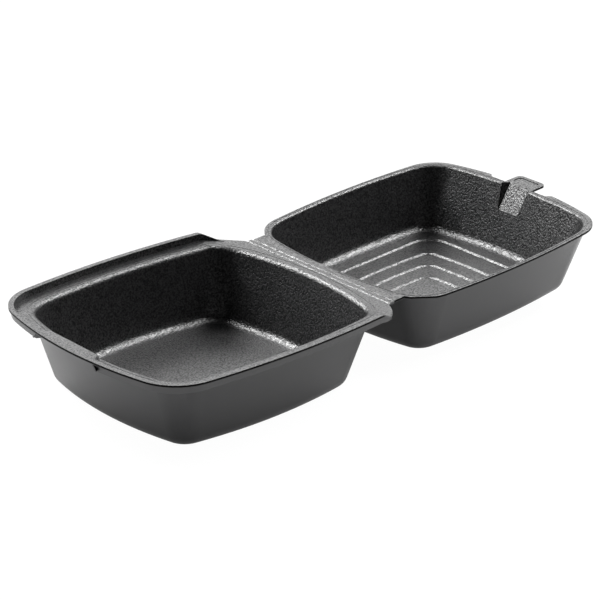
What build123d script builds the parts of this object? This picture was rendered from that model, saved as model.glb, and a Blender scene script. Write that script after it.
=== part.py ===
from build123d import *
import os
from math import asin, cos, pi, radians, sin, tan

# Foam clamshell container, shown open, in millimetres.
# X runs from the front of the base over the hinge to the pull tab, Y runs along the
# hinge and Z is up. The sizes along X are measured from the creases of the hinge. At
# the end all parts are moved so that the origin is under the middle of the open box.

# The foam sheet
wall = 2.0                    # wall and floor of both trays
pressed = 1.2                 # sheet pressed thinner at ledge, lip and flanges
edge_round = 3.0              # rounding where the base's wall turns out into its ledge
lid_round = 1.5               # the same for the lid and its rim
floor_round = 5.5             # inner rounding between floor and wall

# Base rim: a ledge, an upright skirt and a lip that stands out from it
base_reach = 162.5            # first crease to the front of the lip
lip_overrun = 6.7             # the lip's outline reaches this far past the crease, where it is cut off
lip_width = 150.0
lip_bow_end = 5.1             # how far the front of the lip bulges
lip_bow_side = 3.0            # how far the two long sides of the lip bulge
lip_corner = 26.3
ledge_height = 40.2           # foot to the ledge that the closed lid rests on
skirt_height = 3.7            # ledge to the top of the lip
skirt_sheet = 1.5             # thickness of the skirt
lip_reach = 1.3               # lip beyond the outside of the skirt
ramp_start = 21.0             # where the rim starts to drop, before the hinge
ramp_end = 10.5               # where it has dropped to the flange
bend_round = 6.0              # rounding of the bends in the rim

# Base tray, inner corner lines
rim_band = 11.4               # outside of the lip to the tray's mouth, at front and sides
hinge_band = 4.6              # first crease to the tray's mouth
mouth_bow_end = 5.4
mouth_bow_side = 3.2
mouth_corner = 18.0
front_run = 12.0              # the front wall leans in by this much down to the floor
hinge_run = 15.8              # the same for the wall at the hinge
side_run = 7.3                # the same for the two long walls
floor_bow_end = 4.8
floor_bow_side = 4.0
floor_corner = 11.0
panel_rise = 1.2              # raised panel in the middle of the base's floor
panel_border = 10.7           # floor's corner line to the foot of the panel
panel_slope = 50.0            # the panel's edge leans this far from upright
panel_corner = 8.0

# Front platform, on which the pull tab lies when the box is shut
platform_inset = 7.6          # outside of the lip to the platform's inner edge, which follows it
platform_top = 38.8           # length of the platform at the height of the lip
platform_base = 44.0          # its length down at the ledge
platform_flare = 30.0         # its ends open towards the front at this angle to X
platform_shift = 4.4          # it stands this far off the centre line

# Hinge: two pressed creases with a narrow strip between them
crease_end = 20.4             # long side of the lip to the ends of the creases
hinge_shift = 1.0             # they are this far off the centre line
strip_width = 3.4             # crease to crease
crease_depth = 0.6            # depth of each crease
crease_slope = 46.0           # each side of a crease leans this far from upright
crease_gap = 0.02             # running gap between neighbours under a crease
rest_fold = 1.45              # each crease is folded up this much as the box stands open
base_trim_angle = 50.0        # the base's hinge corners are cut at this angle to X
lid_trim_start = 6.0          # the lid's hinge corners are cut from here, past the crease
lid_trim_end = 15.1           # this far in from the long side of the rim
lid_trim_angle = 41.5         # at this angle to X
trim_corner = 3.5             # rounding of the corners beside the hinge

# Lid rim
rim_reach = 152.6             # second crease to the front of the rim
rim_start = 1.0               # the rim's outline starts this far from the second crease
rim_width = 138.2
rim_bow_end = 5.7
rim_bow_side = 2.7
rim_corner = 20.7

# Lid tray, inner corner lines
lid_depth = 35.7              # rim to the outside of the lid's top
lid_band_front = 5.9          # outside of the rim to the tray's mouth, at the front
lid_band_side = 2.8           # the same at the sides
lid_hinge_band = 5.4          # second crease to the tray's mouth
lid_mouth_bow_end = 3.4
lid_mouth_bow_side = 3.0
lid_mouth_corner = 21.0
lid_front_run = 16.0          # the front wall leans in by this much down to the top
lid_hinge_run = 6.2           # the same for the wall at the hinge
lid_side_run = 9.8            # the same for the two long walls
top_bow_end = 4.4
top_bow_side = 2.4
top_corner = 10.5

# Line pressed into both rims, just outside the rounded inner edge
line_offset = 3.0             # base's mouth to the line
lid_line_offset = 1.6         # lid's mouth to the line
line_width = 0.5
line_depth = 0.15

# Pull tab and the scoop in the lid's wall behind it
tab_shift = 2.3               # tab and scoop are this far off the centre line
tab_width = 20.0
tab_reach = 14.2              # inner edge of the rim to the end of the tab
tab_corner = 3.2
dish_depth = 0.3              # shallow dish in the tab
dish_border = 2.2
scoop_depth = 3.6             # scoop beyond the inner edge of the rim
scoop_inner = 20.4            # width of the scoop at the inner edge
scoop_back = 14.0             # width of the scoop at its back
scoop_height = 13.5           # how far down the wall it reaches
trim_reach = 2.2              # the rim beside the tab is cut off this far from its edge
trim_half = 20.5              # half the length of that cut
trim_flare = 40.0             # slant of the cut's ends, from X
trim_round = 2.5              # rounding of those ends

# Ridges in the lid's top: an unbroken ring, and three broken ones inside it
ridge_border_end = 10.1       # top's corner line to the middle of the unbroken ridge, along X
ridge_border_side = 12.3      # the same, along Y
ridge_corner = 14.0
ridge_gaps = ((8.7, 14.2), (5.0, 13.4))   # unbroken ridge to the first broken one, low and high X, then Y
ridge_pitches = (7.0, 11.3)   # from one broken ridge to the next, on the low and the high sides
broken_ridges = 3
ridge_thick = 3.4
ridge_rise = 0.8
ridge_slope = 50.0            # its sides lean this far from upright
ridge_break = 3.6             # the straight ridges stop this short of their corners
ridge_end = 2.8               # and run out over this length at their ends
ridge_bend = 0.03             # they bulge out by this share of their length

# Worked out from the sizes above
lip_height = ledge_height + skirt_height
flange_height = ledge_height - (strip_width - 2 * crease_depth)
pivot_height = flange_height - crease_depth
crease_side = crease_depth * tan(radians(crease_slope))
far = 2 * (base_reach + rim_reach + lip_width)
crease_half = lip_width / 2 - crease_end
lid_trim_half = rim_width / 2 - lid_trim_end
lip_length = base_reach + lip_overrun
lip_centre = base_reach - lip_length / 2
mouth_length = base_reach - rim_band - hinge_band
mouth_centre = hinge_band + mouth_length / 2
floor_length = mouth_length - front_run - hinge_run
floor_centre = hinge_band + hinge_run + floor_length / 2
lid_mouth = rim_reach - lid_band_front
lid_mouth_length = lid_mouth - lid_hinge_band
top_length = lid_mouth_length - lid_front_run - lid_hinge_run
top_centre = lid_hinge_band + lid_hinge_run + top_length / 2
top_width = rim_width - 2 * lid_band_side - 2 * lid_side_run


def between(low, high, share):
    """A value on the straight line from low to high."""
    return low + (high - low) * share


def bowed(length, width, bow_end, bow_side, corner):
    """Flat rectangle with bulging sides and round corners, centred on the origin."""
    half_x = length / 2 - bow_end - corner
    half_y = width / 2 - bow_side - corner
    end_angle = asin(half_y / ((half_y**2 + bow_end**2) / (2 * bow_end)))
    side_angle = asin(half_x / ((half_x**2 + bow_side**2) / (2 * bow_side)))
    mid_angle = (end_angle + pi / 2 - side_angle) / 2
    at_end = (half_x + corner * cos(end_angle), half_y + corner * sin(end_angle))
    at_mid = (half_x + corner * cos(mid_angle), half_y + corner * sin(mid_angle))
    at_side = (half_x + corner * sin(side_angle), half_y + corner * cos(side_angle))
    edges = []
    for sx in (1, -1):
        edges.append(arc((sx, -1), at_end, (length / 2, 0), (sx, 1), at_end))
        for sy in (1, -1):
            edges.append(arc((sx, sy), at_end, at_mid, (sx, sy), at_side))
    for sy in (1, -1):
        edges.append(arc((-1, sy), at_side, (0, width / 2), (1, sy), at_side))
    return make_face(edges)


def arc(first_signs, first, middle, last_signs, last):
    """Arc between two corner points, each mirrored by its signs, over a middle point."""
    start = (first[0] * first_signs[0], first[1] * first_signs[1])
    end = (last[0] * last_signs[0], last[1] * last_signs[1])
    side_x = first_signs[0] if middle[0] else 1
    side_y = first_signs[1] if middle[1] else 1
    return ThreePointArc(start, (middle[0] * side_x, middle[1] * side_y), end)


def grown(sizes, amount):
    """The sizes of a bowed rectangle, moved out by an amount all round."""
    length, width, bow_end, bow_side, corner = sizes
    return (length + 2 * amount, width + 2 * amount, bow_end, bow_side, corner + amount)


def tray_section(tray, z, amount):
    """Outline of a tray's walls at height z, moved out square to the walls by an amount."""
    low_centre, low_sizes, high_centre, high_sizes, rim_z = tray
    depth = rim_z - wall
    share = (z - wall) / depth
    along = amount * (1 + ((high_sizes[0] - low_sizes[0]) / 2 / depth) ** 2) ** 0.5
    across = amount * (1 + ((high_sizes[1] - low_sizes[1]) / 2 / depth) ** 2) ** 0.5
    sizes = [between(low, high, share) for low, high in zip(low_sizes, high_sizes)]
    moved = (sizes[0] + 2 * along, sizes[1] + 2 * across, sizes[2], sizes[3], sizes[4] + amount)
    return Pos(between(low_centre, high_centre, share), 0, z) * bowed(*moved)


def tray_skin(tray, low_z, high_z, amount):
    """Solid inside a tray's walls, which are moved out square to themselves by an amount."""
    return loft([tray_section(tray, z, amount) for z in (low_z, high_z)], ruled=True)


def tray_solids(tray, top_z):
    """A tray's outside and inside as two solids, with rounded floors."""
    outside = tray_skin(tray, 0, top_z, wall)
    outside = fillet(outside.edges().group_by(Axis.Z)[0], floor_round + wall)
    inside = tray_skin(tray, wall, top_z, 0)
    inside = fillet(inside.edges().group_by(Axis.Z)[0], floor_round)
    return outside, inside


def prism(face, low, high):
    """Upright solid over a flat face."""
    return Pos(0, 0, low) * extrude(face, high - low, dir=(0, 0, 1))


def side_sheet(points, half_y):
    """Solid whose XZ outline is given, reaching half_y to both sides."""
    flat = make_face(Polyline(*points, close=True))
    return Rot(90, 0, 0) * extrude(flat, half_y, both=True)


def crease_cut(x, height):
    """The groove of a crease, to be cut out of the parts on both sides of it."""
    points = [
        (x, height - crease_depth),
        (x + 2 * crease_side, height + crease_depth),
        (x - 2 * crease_side, height + crease_depth),
    ]
    return side_sheet(points, far)


def mouth_edges(solid, skin, low, high):
    """Edges that lie on the skin between two heights."""
    chosen = []
    for edge in solid.edges():
        box = edge.bounding_box()
        if box.min.Z < low or box.max.Z > high:
            continue
        if all(skin.distance_to(edge @ place) < 0.003 for place in (0.0, 0.5, 1.0)):
            chosen.append(edge)
    return chosen


def rim_line(rise, drop):
    """XZ points on the base's rim, front to hinge: rise above the ledge, drop below the top."""
    top = ledge_height + rise - drop
    low = flange_height - drop
    return [(-far, top), (-ramp_start, top), (-ramp_end, low), (far, low)]


def rim_sheet(rise, upper, lower):
    """Bent sheet between two depths below the base's rim, with rounded bends."""
    solid = side_sheet(rim_line(rise, upper) + rim_line(rise, lower)[::-1], far)
    bends = []
    for edge in solid.edges().filter_by(Axis.Y):
        x = edge.center().X
        if abs(x + ramp_start) < 1 or abs(x + ramp_end) < 1:
            bends.append(edge)
    return fillet(bends, bend_round)


def pressed_ring(centre, sizes, offset):
    """Upright ring over the line that is pressed into a rim."""
    outside = bowed(*grown(sizes, offset + line_width))
    inside = bowed(*grown(sizes, offset))
    return Pos(centre, 0) * prism(outside - inside, -far, far)


def platform(outline, lip_sizes, inset, low, high):
    """The raised part of the ledge inside an outline, inset on its inner side and its ends."""
    faces = []
    for z in (low, high):
        half = between(platform_base, platform_top, (z - ledge_height) / skirt_height) / 2 - inset
        spread = 2 * platform_inset * tan(radians(platform_flare))
        ends = [(platform_inset, half), (-platform_inset, half + spread)]
        points = ends + [(x, -y) for x, y in ends[::-1]]
        faces.append(Pos(-base_reach, platform_shift, z) * make_face(Polyline(*points, close=True)))
    band = outline - Pos(-lip_centre, 0) * bowed(*grown(lip_sizes, inset - platform_inset))
    return loft(faces, ruled=True) & prism(band, low, high)


def raised_panel(low, z):
    """The panel that stands up from the base's floor."""
    step = 2 * panel_rise * tan(radians(panel_slope))
    bows = (floor_bow_end, floor_bow_side, panel_corner)
    high = (low[0] - step, low[1] - step)
    faces = [Pos(-floor_centre, 0, z) * bowed(*low, *bows)]
    faces.append(Pos(-floor_centre, 0, z + panel_rise) * bowed(*high, *bows))
    return loft(faces, ruled=True)


def make_base():
    """Base tray with its ledge, skirt, lip, front platform and hinge flange."""
    floor_width = lip_width - 2 * rim_band - 2 * side_run
    floor_sizes = (floor_length, floor_width, floor_bow_end, floor_bow_side, floor_corner)
    mouth_sizes = (mouth_length, lip_width - 2 * rim_band, mouth_bow_end, mouth_bow_side, mouth_corner)
    tray = (-floor_centre, floor_sizes, -mouth_centre, mouth_sizes, ledge_height)
    outside, inside = tray_solids(tray, lip_height + wall)

    lip_sizes = (lip_length, lip_width, lip_bow_end, lip_bow_side, lip_corner)
    place = Pos(-lip_centre, 0)
    plan = trimmed(place * bowed(*lip_sizes), base_trim_angle, 0, crease_half, -1)
    skirt_outer = place * bowed(*grown(lip_sizes, -lip_reach))
    skirt_inner = place * bowed(*grown(lip_sizes, -lip_reach - skirt_sheet))

    ledge = rim_sheet(0, 0, pressed)
    lip = rim_sheet(skirt_height, 0, pressed)
    mid = pressed / 2
    skirt_line = rim_line(skirt_height, mid)[:2] + rim_line(0, mid)[2:1:-1] + rim_line(0, mid)[1::-1]
    flange_end = Pos(far / 2 - ramp_end, 0) * Box(far, far, 2 * far)

    body = outside & rim_sheet(0, 0, ledge_height + wall)
    body += prism(skirt_outer, 0, far) & ledge
    body += prism(skirt_outer - skirt_inner, 0, far) & side_sheet(skirt_line, far)
    body += prism(plan - skirt_inner, 0, far) & lip
    body += prism(plan, 0, far) & ledge & flange_end
    body -= inside
    body = fillet(mouth_edges(body, inside, flange_height - 0.2, ledge_height + 0.2), edge_round)
    body -= pressed_ring(-mouth_centre, mouth_sizes, line_offset) & rim_sheet(0, -wall, line_depth)

    body += platform(plan, lip_sizes, 0, ledge_height - mid, lip_height)
    around = place * bowed(*grown(lip_sizes, lip_reach))
    body -= platform(around, lip_sizes, pressed, ledge_height - 2 * pressed, lip_height - pressed)

    low = (floor_length - 2 * panel_border, floor_width - 2 * panel_border)
    body += raised_panel(low, wall)
    body -= raised_panel(low, 0)
    body -= crease_cut(0, flange_height)
    return body - Pos(far / 2 - crease_gap / 2, 0) * Box(far, 2 * far, 2 * far)


def trimmed(plan, angle, start, half, side):
    """A rim's outline with both corners beside the crease cut off and rounded."""
    run = far * cos(radians(angle)) * side
    rise = far * sin(radians(angle))
    for sign in (1, -1):
        points = [(start * side, half * sign), (start * side + run, (half + rise) * sign)]
        points += [(-far * side, (half + rise) * sign), (-far * side, half * sign)]
        plan -= Pos(0, hinge_shift) * make_face(Polyline(*points, close=True))
    sharp = []
    for vertex in plan.vertices():
        along = side * vertex.X - start
        across = abs(vertex.Y - hinge_shift) - half
        if abs(along * tan(radians(angle)) - across) < 0.01 and along > 1:
            sharp.append(vertex)
    return fillet(sharp, trim_corner)


def make_strip():
    """Narrow strip between the two creases."""
    low = crease_gap / 2
    block = Pos(strip_width / 2, hinge_shift, flange_height - pressed / 2)
    strip = block * Box(strip_width - 2 * low, 2 * crease_half, pressed)
    return strip - crease_cut(0, flange_height) - crease_cut(strip_width, flange_height)


def scoop_solid(amount):
    """Scoop behind the pull tab, moved out by an amount."""
    low_z = lid_depth - scoop_height - amount
    low_x = between(lid_mouth - lid_front_run, lid_mouth, (low_z - wall) / (lid_depth - wall))
    faces = []
    for z, x, depth in ((low_z, low_x, scoop_depth / 10), (lid_depth, lid_mouth, scoop_depth)):
        back = scoop_back / 2 + amount
        front = between(scoop_back, scoop_inner, depth / scoop_depth) / 2 + amount
        points = [
            (x - floor_round, tab_shift - front),
            (x, tab_shift - front),
            (x + depth + amount, tab_shift - back),
            (x + depth + amount, tab_shift + back),
            (x, tab_shift + front),
            (x - floor_round, tab_shift + front),
        ]
        faces.append(Pos(0, 0, z) * make_face(Polyline(*points, close=True)))
    return loft(faces, ruled=True)


def rim_plan():
    """Outline of the lid's rim with its cut beside the pull tab and the tab itself."""
    length = rim_reach - rim_start
    plan = Pos(rim_start + length / 2, 0) * bowed(length, rim_width, rim_bow_end, rim_bow_side, rim_corner)
    plan += Pos(rim_reach / 8, hinge_shift) * Rectangle(rim_reach / 4, 2 * lid_trim_half)
    spread = far * tan(radians(trim_flare))
    cut = [
        (lid_mouth + trim_reach, tab_shift - trim_half),
        (lid_mouth + trim_reach + far, tab_shift - trim_half - spread),
        (lid_mouth + trim_reach + far, tab_shift + trim_half + spread),
        (lid_mouth + trim_reach, tab_shift + trim_half),
    ]
    plan -= make_face(Polyline(*cut, close=True))
    ends = [v for v in plan.vertices() if v.X > lid_mouth and abs(v.Y - tab_shift) < 1.5 * trim_half]
    plan = fillet(ends, trim_round)
    plan = trimmed(plan, lid_trim_angle, lid_trim_start, lid_trim_half, 1)
    tab = Rectangle(tab_reach + floor_round, tab_width)
    tab = fillet(tab.vertices().group_by(Axis.X)[-1], tab_corner)
    return plan + Pos(lid_mouth + (tab_reach - floor_round) / 2, tab_shift) * tab


def ridge_shapes(z):
    """Nested ridges standing up from z."""
    half_x = top_length / 2 - ridge_border_end
    half_y = top_width / 2 - ridge_border_side
    shapes = [ring_ridge(2 * half_x, 2 * half_y, z)]
    for number in range(broken_ridges):
        low_x, high_x, low_y, high_y = [
            half - gap - number * pitch
            for half, gaps in ((half_x, ridge_gaps[0]), (half_y, ridge_gaps[1]))
            for gap, pitch in zip(gaps, ridge_pitches)
        ]
        for turn, side, low, high in (
            (0, high_y, -low_x, high_x),
            (90, low_x, -low_y, high_y),
            (180, low_y, -high_x, low_x),
            (270, high_x, -high_y, low_y),
        ):
            bar = Pos((low + high) / 2, side) * bar_ridge(high - low - 2 * ridge_break)
            shapes.append(Pos(top_centre, 0, z) * Rot(0, 0, turn) * bar)
    return shapes


def ring_ridge(length, width, z):
    """Unbroken ridge with round corners and sloping sides."""
    lean = ridge_rise * tan(radians(ridge_slope))
    solids = []
    for side in (1, -1):
        faces = []
        for height, step in ((0, 0), (ridge_rise, -lean)):
            grow = side * (ridge_thick / 2 + step)
            face = RectangleRounded(length + 2 * grow, width + 2 * grow, ridge_corner + grow)
            faces.append(Pos(top_centre, 0, z + height) * face.face())
        solids.append(loft(faces, ruled=True))
    return solids[0] - solids[1]


def bar_ridge(length):
    """Ridge along X, bulging towards +Y, with sloping sides and ends that run out."""
    lean = ridge_rise * tan(radians(ridge_slope))
    faces = []
    for height, half_x, half_y in (
        (0, length / 2, ridge_thick / 2),
        (ridge_rise, length / 2 - ridge_end, ridge_thick / 2 - lean),
    ):
        bulge = ridge_bend * length * (2 * half_x / length) ** 2
        sides = [
            [(-half_x, y - bulge), (0, y), (half_x, y - bulge)] for y in (half_y, -half_y)
        ]
        edges = [ThreePointArc(*points) for points in sides]
        edges += [Line(sides[0][end], sides[1][end]) for end in (0, 2)]
        faces.append(Pos(0, 0, height) * make_face(edges))
    return loft(faces, ruled=True)


def make_lid():
    """Lid with its rim up, from the second crease, standing on the outside of its top."""
    top_sizes = (top_length, top_width, top_bow_end, top_bow_side, top_corner)
    lid_mouth_width = rim_width - 2 * lid_band_side
    mouth_sizes = (lid_mouth_length, lid_mouth_width, lid_mouth_bow_end, lid_mouth_bow_side, lid_mouth_corner)
    mouth_centre_x = lid_mouth - lid_mouth_length / 2
    tray = (top_centre, top_sizes, mouth_centre_x, mouth_sizes, lid_depth)
    outside, inside = tray_solids(tray, lid_depth + wall)

    body = outside & Pos(0, 0, lid_depth - far / 2) * Box(far, far, far)
    body += prism(rim_plan(), lid_depth - pressed, lid_depth)
    body += scoop_solid(pressed)
    body -= inside
    body = fillet(mouth_edges(body, inside, lid_depth - 0.2, lid_depth + 0.2), lid_round)
    body -= scoop_solid(0)
    line = pressed_ring(mouth_centre_x, mouth_sizes, lid_line_offset)
    line -= prism(Pos(lid_mouth, tab_shift) * Rectangle(far, tab_width), -far, far)
    body -= line & Pos(0, 0, lid_depth + far / 2 - line_depth) * Box(far, far, far)
    body -= tab_dish()

    for shape in ridge_shapes(wall):
        body += shape
    for shape in ridge_shapes(0):
        body -= shape
    body -= crease_cut(0, lid_depth)
    return body - Pos(crease_gap / 2 - far / 2, 0) * Box(far, 2 * far, 2 * far)


def tab_dish():
    """Shallow dish pressed into the top of the pull tab."""
    start = scoop_depth + dish_border
    length = tab_reach - start - dish_border
    middle = lid_mouth + start + length / 2
    dish = RectangleRounded(length, tab_width - 2 * dish_border, dish_border)
    return Pos(middle, tab_shift) * prism(dish.face(), lid_depth - dish_depth, lid_depth + 1)


def folded(shape, x, angle):
    """A shape on the hinge's far side, folded up about the crease at x."""
    return Pos(x, 0, pivot_height) * Rot(0, -angle, 0) * Pos(-x, 0, -pivot_height) * shape


base = make_base()
strip = folded(make_strip(), 0, rest_fold)
lid = Pos(strip_width, 0, flange_height - lid_depth) * make_lid()
lid = folded(folded(lid, strip_width, rest_fold), 0, rest_fold)
middle = (base.bounding_box().min.X + lid.bounding_box().max.X) / 2

os.makedirs("parts", exist_ok=True)
for name, shape in (("base", base), ("hinge_strip", strip), ("lid", lid)):
    export_step(Pos(-middle, 0, 0) * shape, "parts/" + name + ".step")
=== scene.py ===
"""Black foam takeaway box, shown open: materials, light and camera."""
from math import cos, pi, radians, sin

import bpy
from mathutils import Matrix, Vector


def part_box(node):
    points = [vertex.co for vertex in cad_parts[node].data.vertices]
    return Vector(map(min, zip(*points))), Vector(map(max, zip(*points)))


MM = 0.001

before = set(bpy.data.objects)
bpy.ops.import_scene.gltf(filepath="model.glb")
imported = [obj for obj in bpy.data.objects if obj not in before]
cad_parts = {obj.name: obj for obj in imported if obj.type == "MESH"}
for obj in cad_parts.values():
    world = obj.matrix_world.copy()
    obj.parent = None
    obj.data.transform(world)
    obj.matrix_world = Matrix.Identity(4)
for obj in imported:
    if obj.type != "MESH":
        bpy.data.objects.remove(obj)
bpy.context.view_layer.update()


# Camera

SENSOR = 36.0                                  # mm
LENS = 152.65                                  # mm, a long lens a good way off
VIEW_AZIMUTH = radians(-41.95)
VIEW_ELEVATION = radians(23.90)
VIEW_ROLL = radians(0.16)
VIEW_TARGET = Vector((-2.71, 11.50, 18.82)) * MM
VIEW_DISTANCE = 1332.9 * MM
NEAR_CLIP = 0.05                               # m
FAR_CLIP = 50.0                                # m


def view_axes(azimuth, elevation):
    """Right, up and back of a camera that looks at the box from a direction."""
    back = Vector((sin(azimuth) * cos(elevation), -cos(azimuth) * cos(elevation), sin(elevation)))
    right = Vector((cos(azimuth), sin(azimuth), 0.0))
    return right, back.cross(right), back


def make_camera():
    """The camera of the photograph."""
    data = bpy.data.cameras.new("camera")
    data.sensor_width = SENSOR
    data.lens = LENS
    data.clip_start = NEAR_CLIP
    data.clip_end = FAR_CLIP
    camera = bpy.data.objects.new("camera", data)
    bpy.context.scene.collection.objects.link(camera)
    right, up, back = view_axes(VIEW_AZIMUTH, VIEW_ELEVATION)
    level = right * cos(VIEW_ROLL) + up * sin(VIEW_ROLL)
    upright = up * cos(VIEW_ROLL) - right * sin(VIEW_ROLL)
    turn = Matrix((level, upright, back)).transposed()
    camera.matrix_world = Matrix.Translation(VIEW_TARGET + back * VIEW_DISTANCE) @ turn.to_4x4()
    bpy.context.scene.camera = camera


make_camera()


# Node helpers

def linear(code):
    """Linear colour of an sRGB hex value."""
    parts = [int(code[i:i + 2], 16) / 255 for i in (1, 3, 5)]
    return [p / 12.92 if p <= 0.04045 else ((p + 0.055) / 1.055) ** 2.4 for p in parts] + [1.0]


def add(tree, kind, inputs=None, **settings):
    """A node of a kind with its settings; its inputs are values or links."""
    node = tree.nodes.new(kind)
    for name, value in settings.items():
        setattr(node, name, value)
    for key, value in (inputs or {}).items():
        if isinstance(value, bpy.types.NodeSocket):
            tree.links.new(value, node.inputs[key])
        else:
            node.inputs[key].default_value = value
    return node


def smooth_step(tree, value, low, high):
    """0 below low, 1 above high, and a soft change between."""
    node = add(tree, "ShaderNodeMapRange", {"Value": value, "From Min": low, "From Max": high},
               interpolation_type="SMOOTHSTEP")
    return node.outputs["Result"]


def maths(tree, operation, first, second=0.0):
    """Two numbers joined by one step of arithmetic."""
    return add(tree, "ShaderNodeMath", {0: first, 1: second}, operation=operation).outputs[0]


# Foam

# Expanded polystyrene sheet, dyed black right through and formed over a mould. The side that
# faces the food shows its burst cells as a fine sparkling grain; the outside has a closed,
# smoother skin with a soft shine.
FOAM_COLOUR = "#0d0d0e"
SKIN_COLOUR = "#1a1a1c"
# painted shade: the cut edge is painted darker than the skin, for the shade under the lip's overhang
EDGE_SHADE_COLOUR = "#080808"
GRAIN_MM = 1.0                # across one cell of the inner face
CLUSTER_MM = 6.0              # across the lighter and darker patches of the grain
RIPPLE_MM = 9.0               # across the shallow ripples of the outer skin
EDGE_MM = 1.0                 # height of the cut edge around the lip and the lid's rim
EDGE_BLEND_MM = 0.05          # over which that edge's painted shade fades out below it
EDGE_LEVEL = (0.3, 0.6)       # faces more level than this are not the cut edge
INNER_FACING = (-0.05, 0.10)  # how much a face looks at the tray's middle, outside to inside
INNER_UPWARD = (0.15, 0.40)   # and how much it looks up
GRAIN_DEPTH_MM = 0.28
RIPPLE_DEPTH_MM = 0.12
RIPPLE_STRENGTH = 0.25
FOAM_IOR = 1.59
FOAM_ROUGHNESS = (0.31, 0.41)  # from the smoothest patch of grain to the roughest
SKIN_ROUGHNESS = 0.38
SPARKLE_CELLS = (0.38, 0.62)  # the span of the grain's noise from the dullest cell to the brightest
SPARKLE_SHINE = (0.20, 1.0)   # specular level of those two
SKIN_SHINE = 0.5
# painted shade: the cut edge gets almost no shine, so it shows no reflected light
EDGE_SHADE_SHINE = 0.02

# Height in mm of the point that each tray's inner faces look at
INNER_HEIGHT = {"base": 34.0, "hinge_strip": 60.0, "lid": 34.0}

# A point on the upper face of each rim, in mm, and the tilt of that face about Y in degrees.
# The hinge strip lies lower than the base's rim and has no such edge.
RIMS = {
    "base": ((0.0, 0.0, 43.9), 0.0),
    "hinge_strip": ((0.0, 0.0, 43.9), 0.0),
    "lid": ((2.56, 0.0, 38.09), 2.9),
}


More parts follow.
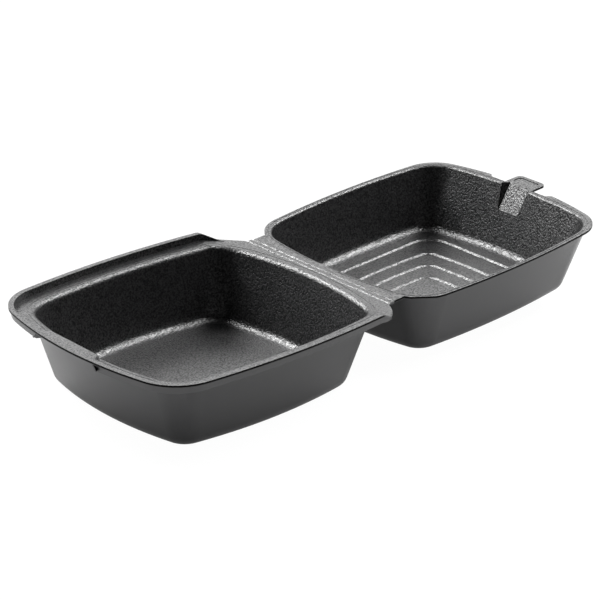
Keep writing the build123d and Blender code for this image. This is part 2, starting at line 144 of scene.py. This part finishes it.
def foam(name, centre, height, rim):
    """Foam of one tray, grainy inside and smooth outside, with painted shade on the cut edge at its rim.
    """
    material = bpy.data.materials.new(name)
    material.use_nodes = True
    tree = material.node_tree
    tree.nodes.clear()
    place = add(tree, "ShaderNodeTexCoord")
    position = place.outputs["Object"]
    normal = place.outputs["Normal"]

    # which side of the sheet this is: faces that look at the middle of the tray, or up
    middle = Vector((centre, 0.0, height)) * MM
    towards = add(tree, "ShaderNodeVectorMath", {0: tuple(middle), 1: position}, operation="SUBTRACT")
    towards = add(tree, "ShaderNodeVectorMath", {0: towards.outputs[0]}, operation="NORMALIZE")
    facing = add(tree, "ShaderNodeVectorMath", {0: towards.outputs[0], 1: normal}, operation="DOT_PRODUCT")
    upward = add(tree, "ShaderNodeSeparateXYZ", {0: normal}).outputs["Z"]
    inner = maths(tree, "MAXIMUM", smooth_step(tree, facing.outputs["Value"], *INNER_FACING),
                  smooth_step(tree, upward, *INNER_UPWARD))

    # the cut edge of the pressed sheet, just below the upper face of the rim, painted dark and dull as
    # painted shade for the shade under the lip's overhang
    point, tilt = rim
    across = (-sin(radians(tilt)), 0.0, cos(radians(tilt)))
    start = tuple(Vector(point) * MM)
    offset = add(tree, "ShaderNodeVectorMath", {0: position, 1: start}, operation="SUBTRACT")
    over = add(tree, "ShaderNodeVectorMath", {0: offset.outputs[0], 1: across}, operation="DOT_PRODUCT")
    level = add(tree, "ShaderNodeVectorMath", {0: normal, 1: across}, operation="DOT_PRODUCT")
    level = maths(tree, "ABSOLUTE", level.outputs["Value"])
    low = -EDGE_MM * MM
    in_band = smooth_step(tree, over.outputs["Value"], low - EDGE_BLEND_MM * MM, low)
    sideways = maths(tree, "SUBTRACT", 1.0, smooth_step(tree, level, *EDGE_LEVEL))
    edge = maths(tree, "MULTIPLY", in_band, sideways)
    edge = maths(tree, "MULTIPLY", edge, maths(tree, "SUBTRACT", 1.0, inner))

    cells = add(tree, "ShaderNodeTexNoise",
                {"Vector": position, "Scale": 1 / (GRAIN_MM * MM), "Detail": 2.0, "Roughness": 0.6})
    patches = add(tree, "ShaderNodeTexNoise",
                  {"Vector": position, "Scale": 1 / (CLUSTER_MM * MM), "Detail": 2.0})
    ripple = add(tree, "ShaderNodeTexNoise",
                 {"Vector": position, "Scale": 1 / (RIPPLE_MM * MM), "Detail": 1.0})

    colour = add(tree, "ShaderNodeMix",
                 {"Factor": inner, "A": linear(SKIN_COLOUR), "B": linear(FOAM_COLOUR)}, data_type="RGBA")
    # painted shade: the darker colour of the cut edge under the lip
    colour = add(tree, "ShaderNodeMix",
                 {"Factor": edge, "A": colour.outputs["Result"], "B": linear(EDGE_SHADE_COLOUR)},
                 data_type="RGBA")
    grain_height = maths(tree, "MULTIPLY", cells.outputs["Fac"], inner)
    rough_inner = add(tree, "ShaderNodeMapRange",
                      {"Value": patches.outputs["Fac"],
                       "To Min": FOAM_ROUGHNESS[0], "To Max": FOAM_ROUGHNESS[1]})
    rough = add(tree, "ShaderNodeMix",
                {"Factor": inner, "A": SKIN_ROUGHNESS, "B": rough_inner.outputs["Result"]})
    sparkle = add(tree, "ShaderNodeMapRange",
                  {"Value": cells.outputs["Fac"],
                   "From Min": SPARKLE_CELLS[0], "From Max": SPARKLE_CELLS[1],
                   "To Min": SPARKLE_SHINE[0], "To Max": SPARKLE_SHINE[1]})
    shine = add(tree, "ShaderNodeMix", {"Factor": inner, "A": SKIN_SHINE, "B": sparkle.outputs["Result"]})
    # painted shade: the cut edge under the lip loses its shine
    shine = add(tree, "ShaderNodeMix", {"Factor": edge, "A": shine.outputs["Result"], "B": EDGE_SHADE_SHINE})
    wave = add(tree, "ShaderNodeBump",
               {"Height": ripple.outputs["Fac"], "Strength": RIPPLE_STRENGTH,
                "Distance": RIPPLE_DEPTH_MM * MM})
    bump = add(tree, "ShaderNodeBump",
               {"Height": grain_height, "Normal": wave.outputs[0], "Strength": 1.0,
                "Distance": GRAIN_DEPTH_MM * MM})
    shader = add(tree, "ShaderNodeBsdfPrincipled",
                 {"Base Color": colour.outputs["Result"], "Roughness": rough.outputs["Result"],
                  "Normal": bump.outputs[0], "IOR": FOAM_IOR,
                  "Specular IOR Level": shine.outputs["Result"]})
    add(tree, "ShaderNodeOutputMaterial", {"Surface": shader.outputs[0]})
    return material


def tray_middle(node):
    """Middle of a node along X, in mm."""
    low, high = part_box(node)
    return (low.x + high.x) / 2 / MM


FOAM_NAMES = {
    "base": "expanded_foam_base",
    "hinge_strip": "expanded_foam_strip",
    "lid": "expanded_foam_lid",
}
for node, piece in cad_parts.items():
    piece.data.materials.clear()
    piece.data.materials.append(foam(FOAM_NAMES[node], tray_middle(node), INNER_HEIGHT[node], RIMS[node]))


# Room and light

FRONT_LEVEL = 0.03            # light of the surround on the camera's side
BACK_LEVEL = 0.9              # and behind the box
BEHIND_SPAN = (-0.3, 0.9)     # how far behind the box the surround turns from one to the other
SEEN_WHITE = 0.96             # share of the paper that the camera sees as plain white
MIRRORED_WHITE = 0.35         # and that the foam's shine sees
PAPER_COLOUR = "#f2f2f2"
PAPER_GLOW = 1.02
FLOOR_HALF = 6.0              # m
FLOOR_DROP = 0.00005          # m, so that the foot doesn't lie in the paper's own plane


def white_paper():
    """Matt white paper of the floor, seen white, with the box's soft shadow kept."""
    material = bpy.data.materials.new("white_paper")
    material.use_nodes = True
    tree = material.node_tree
    tree.nodes.clear()
    rays = add(tree, "ShaderNodeLightPath").outputs
    paper = add(tree, "ShaderNodeBsdfDiffuse", {"Color": linear(PAPER_COLOUR)})
    glow = add(tree, "ShaderNodeEmission", {"Color": (1.0, 1.0, 1.0, 1.0), "Strength": PAPER_GLOW})
    seen = maths(tree, "MULTIPLY", rays["Is Camera Ray"], SEEN_WHITE)
    mirrored = maths(tree, "MULTIPLY", rays["Is Glossy Ray"], MIRRORED_WHITE)
    share = maths(tree, "MAXIMUM", seen, mirrored)
    mixed = add(tree, "ShaderNodeMixShader", {0: share, 1: paper.outputs[0], 2: glow.outputs[0]})
    add(tree, "ShaderNodeOutputMaterial", {"Surface": mixed.outputs[0]})
    return material


def make_floor():
    """Wide plain floor under the box."""
    mesh = bpy.data.meshes.new("floor")
    signs = ((-1, -1), (1, -1), (1, 1), (-1, 1))
    corners = [(x * FLOOR_HALF, y * FLOOR_HALF, -FLOOR_DROP) for x, y in signs]
    mesh.from_pydata(corners, [], [(0, 1, 2, 3)])
    floor = bpy.data.objects.new("floor", mesh)
    bpy.context.scene.collection.objects.link(floor)
    mesh.materials.append(white_paper())


def make_world():
    """Surround seen as white, which lights the box from behind and hardly from the camera's side."""
    world = bpy.data.worlds.new("white_surround")
    world.use_nodes = True
    tree = world.node_tree
    tree.nodes.clear()
    rays = add(tree, "ShaderNodeLightPath").outputs
    place = add(tree, "ShaderNodeTexCoord").outputs["Generated"]
    away = (-sin(VIEW_AZIMUTH), cos(VIEW_AZIMUTH), 0.0)
    behind = add(tree, "ShaderNodeVectorMath", {0: place, 1: away}, operation="DOT_PRODUCT")
    glow = add(tree, "ShaderNodeMapRange",
               {"Value": behind.outputs["Value"], "From Min": BEHIND_SPAN[0], "From Max": BEHIND_SPAN[1],
                "To Min": FRONT_LEVEL, "To Max": BACK_LEVEL},
               interpolation_type="SMOOTHSTEP")
    level = add(tree, "ShaderNodeMix",
                {"Factor": rays["Is Camera Ray"], "A": glow.outputs["Result"], "B": 1.0})
    sky = add(tree, "ShaderNodeBackground",
              {"Color": (1.0, 1.0, 1.0, 1.0), "Strength": level.outputs["Result"]})
    add(tree, "ShaderNodeOutputWorld", {"Surface": sky.outputs[0]})
    bpy.context.scene.world = world


def soft_box(name, azimuth, elevation, distance, width, height, radiance):
    """Studio soft box that looks at the box from a direction; its power follows its radiance."""
    data = bpy.data.lights.new(name, "AREA")
    data.shape = "RECTANGLE"
    data.size = width
    data.size_y = height
    data.energy = radiance * pi * width * height
    lamp = bpy.data.objects.new(name, data)
    bpy.context.scene.collection.objects.link(lamp)
    right, up, back = view_axes(radians(azimuth), radians(elevation))
    turn = Matrix((right, up, back)).transposed()
    lamp.matrix_world = Matrix.Translation(back * distance) @ turn.to_4x4()


# Each soft box: azimuth and elevation in degrees, distance, width and height in m, radiance
SOFT_BOXES = {
    "left_light": (197.0, 44.0, 1.3, 0.65, 0.65, 22.0),
    "right_light": (76.0, 48.0, 1.3, 0.65, 0.65, 18.0),
    "back_light": (138.0, 30.0, 1.6, 1.3, 0.5, 3.2),
}

make_floor()
make_world()
for name, values in SOFT_BOXES.items():
    soft_box(name, *values)
bpy.context.scene.view_settings.view_transform = "Standard"
